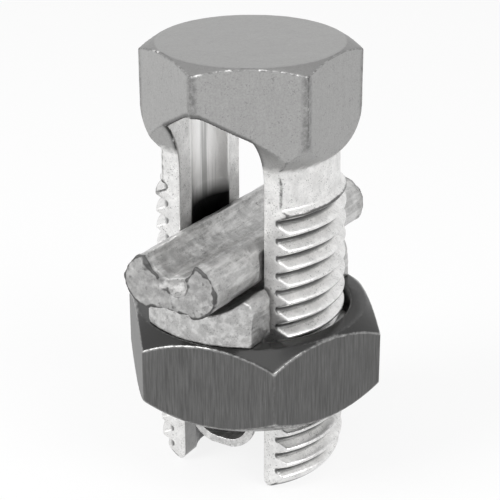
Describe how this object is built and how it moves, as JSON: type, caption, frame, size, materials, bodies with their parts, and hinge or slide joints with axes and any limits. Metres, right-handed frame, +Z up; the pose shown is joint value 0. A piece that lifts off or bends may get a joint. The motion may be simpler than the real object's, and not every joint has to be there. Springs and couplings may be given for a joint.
{
  "type": "split bolt connector",
  "caption": "Hex-headed split bolt with two threaded legs, hex nut, pressure bar, retaining strap and a loose spacer bar, for clamping two cables side by side.",
  "frame": {"origin": "on the axis of the bolt, level with the flat ends of the two legs", "axes": "+Z up the bolt towards its head; Y along the cables through the slot; X from one leg to the other"},
  "size_m": [0.0318, 0.0352, 0.0527],
  "materials": {
    "bolt_metal": "satin tin plating on bronze",
    "nut_metal": "dark brushed plating",
    "bar_metal": "rough tin plating on bronze",
    "strap_metal": "tinned sheet",
    "spacer_metal": "tin plating on bronze, sheared ends"
  },
  "bodies": {
    "bolt": {"split_bolt": "bolt_metal"},
    "pressure_bar": {"pressure_bar": "bar_metal", "retaining_strap": "strap_metal"},
    "nut": {"hex_nut": "nut_metal"},
    "spacer": {"spacer_bar": "spacer_metal"}
  },
  "joints": [
    {"name": "nut_turn", "type": "hinge", "parent": "pressure_bar", "child": "nut", "pos_m": [0, 0, 0.01565], "axis": [0, 0, 1], "range_deg": [-590, 1080]},
    {"name": "pressure_bar_travel", "type": "slide", "parent": "bolt", "child": "pressure_bar", "axis": [0, 0, 1], "range_m": [-0.0035, 0.0064]},
    {"name": "spacer_lift", "type": "slide", "parent": "pressure_bar", "child": "spacer", "axis": [0, 0, 1], "range_m": [0, 0.005]}
  ],
  "couplings": [
    {"joint": "pressure_bar_travel", "follows": "nut_turn", "m_per_rad": 0.00033693}
  ]
}
